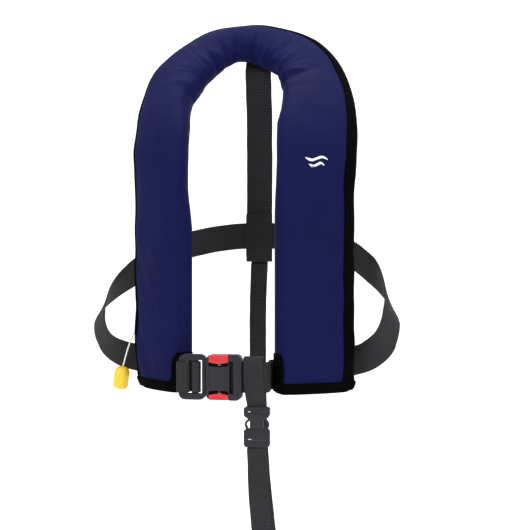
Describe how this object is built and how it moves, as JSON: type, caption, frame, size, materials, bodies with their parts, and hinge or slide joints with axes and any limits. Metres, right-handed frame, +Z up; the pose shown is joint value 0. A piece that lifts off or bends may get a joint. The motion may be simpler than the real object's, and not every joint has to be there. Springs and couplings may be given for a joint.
{
  "type": "inflatable life jacket",
  "caption": "Inflatable life jacket: padded horseshoe cover over a folded bladder, with back strap, waist belt, push-button buckle, crotch strap and pull handle.",
  "frame": {"origin": "middle of the collar's inner edge at the back, where it rests on the nape of the neck", "axes": "+Z up as worn, +X towards the wearer's left, -Y towards the front"},
  "size_m": [0.4124, 0.2597, 0.7587],
  "materials": {
    "cover_navy": "coated woven cloth, satin",
    "trim_black": "matt cloth tape",
    "lining_black": "matt knitted mesh",
    "webbing_grey": "ribbed polyester webbing",
    "buckle_plastic": "moulded, satin",
    "button_red": "moulded, semi-gloss",
    "handle_yellow": "moulded, semi-gloss",
    "cord_white": "braided",
    "bottle_steel": "satin",
    "fitting_brass": "satin",
    "seal_rubber": "matt",
    "indicator_green": "satin",
    "bladder_yellow": "coated cloth, satin"
  },
  "bodies": {
    "jacket": {"right_cover": "cover_navy", "left_cover": "cover_navy", "collar_cover": "cover_navy", "right_back_lining": "lining_black", "left_back_lining": "lining_black", "collar_back_lining": "lining_black", "right_edge_band": "trim_black", "left_edge_band": "trim_black", "collar_edge_band": "trim_black", "right_bottom_binding": "trim_black", "left_bottom_binding": "trim_black", "right_corner_patch": "trim_black", "left_corner_patch": "trim_black", "right_belt_sleeve": "lining_black", "left_belt_sleeve": "lining_black", "waist_belt": "webbing_grey", "back_strap": "webbing_grey", "back_strap_loop": "webbing_grey", "crotch_loop": "webbing_grey", "crotch_strap_back": "webbing_grey", "crotch_back_fold": "webbing_grey", "buckle_housing": "buckle_plastic", "button_spring_upper": "bottle_steel", "button_spring_lower": "bottle_steel", "crotch_clip_male": "buckle_plastic", "inflator_body": "buckle_plastic", "bottle_gasket": "seal_rubber", "pin_spring": "bottle_steel", "lever_pivot_pin": "bottle_steel", "status_clip": "indicator_green", "manifold_stem": "fitting_brass", "manifold_nut": "fitting_brass", "folded_bladder": "bladder_yellow", "oral_tube": "seal_rubber", "oral_valve": "button_red", "whistle": "handle_yellow"},
    "tongue": {"buckle_tongue": "buckle_plastic", "tongue_webbing": "webbing_grey"},
    "upper_button": {"release_button_upper": "button_red"},
    "lower_button": {"release_button_lower": "button_red"},
    "crotch_lower": {"crotch_clip_female": "buckle_plastic", "crotch_strap_front": "webbing_grey", "crotch_strap_tail": "webbing_grey"},
    "prong_left": {"crotch_prong_left": "buckle_plastic"},
    "prong_right": {"crotch_prong_right": "buckle_plastic"},
    "pull_handle": {"pull_cord": "cord_white", "pull_toggle": "handle_yellow"},
    "lever": {"firing_lever": "handle_yellow"},
    "striker": {"firing_pin": "fitting_brass"},
    "bottle": {"gas_bottle": "bottle_steel"},
    "cartridge": {"water_cartridge": "indicator_green"},
    "tube_cap": {"oral_cap": "seal_rubber"}
  },
  "joints": [
    {"name": "waist_buckle_release", "type": "slide", "parent": "jacket", "child": "tongue", "axis": [-1, 0, 0], "range_m": [0, 0.04]},
    {"name": "upper_button_press", "type": "slide", "parent": "jacket", "child": "upper_button", "axis": [0, 0, -1], "range_m": [0, 0.004], "stiffness_N_per_m": 300, "deforming": ["button_spring_upper"]},
    {"name": "lower_button_press", "type": "slide", "parent": "jacket", "child": "lower_button", "axis": [0, 0, 1], "range_m": [0, 0.004], "stiffness_N_per_m": 300, "deforming": ["button_spring_lower"]},
    {"name": "crotch_clip_release", "type": "slide", "parent": "jacket", "child": "crotch_lower", "axis": [0, 0, -1], "range_m": [0, 0.03]},
    {"name": "left_prong_squeeze", "type": "slide", "parent": "jacket", "child": "prong_left", "axis": [-1, 0, 0], "range_m": [0, 0.0025], "stiffness_N_per_m": 400},
    {"name": "right_prong_squeeze", "type": "slide", "parent": "jacket", "child": "prong_right", "axis": [1, 0, 0], "range_m": [0, 0.0025], "stiffness_N_per_m": 400},
    {"name": "handle_pull", "type": "slide", "parent": "jacket", "child": "pull_handle", "axis": [-0.3552, -0.02, -0.9346], "range_m": [0, 0.03]},
    {"name": "lever_swing", "type": "hinge", "parent": "jacket", "child": "lever", "pos_m": [-0.1088, -0.12818, -0.37298], "axis": [-0.6947, -0.7193, 0], "range_deg": [0, 75]},
    {"name": "pin_strike", "type": "slide", "parent": "jacket", "child": "striker", "axis": [0, 0, 1], "range_m": [0, 0.004], "deforming": ["pin_spring"]},
    {"name": "bottle_unscrew", "type": "hinge", "parent": "jacket", "child": "bottle", "pos_m": [-0.0923, -0.14133, -0.28098], "axis": [0, 0, 1], "continuous": true},
    {"name": "cartridge_unscrew", "type": "hinge", "parent": "jacket", "child": "cartridge", "pos_m": [-0.08586, -0.14616, -0.39098], "axis": [0, 0, 1], "continuous": true},
    {"name": "tube_cap_pull", "type": "slide", "parent": "jacket", "child": "tube_cap", "axis": [0, 0, -1], "range_m": [0, 0.025]}
  ],
  "couplings": [
    {"joint": "lever_swing", "follows": "handle_pull", "rad_per_m": 43.63},
    {"joint": "pin_strike", "follows": "handle_pull", "ratio": 0.1333}
  ]
}
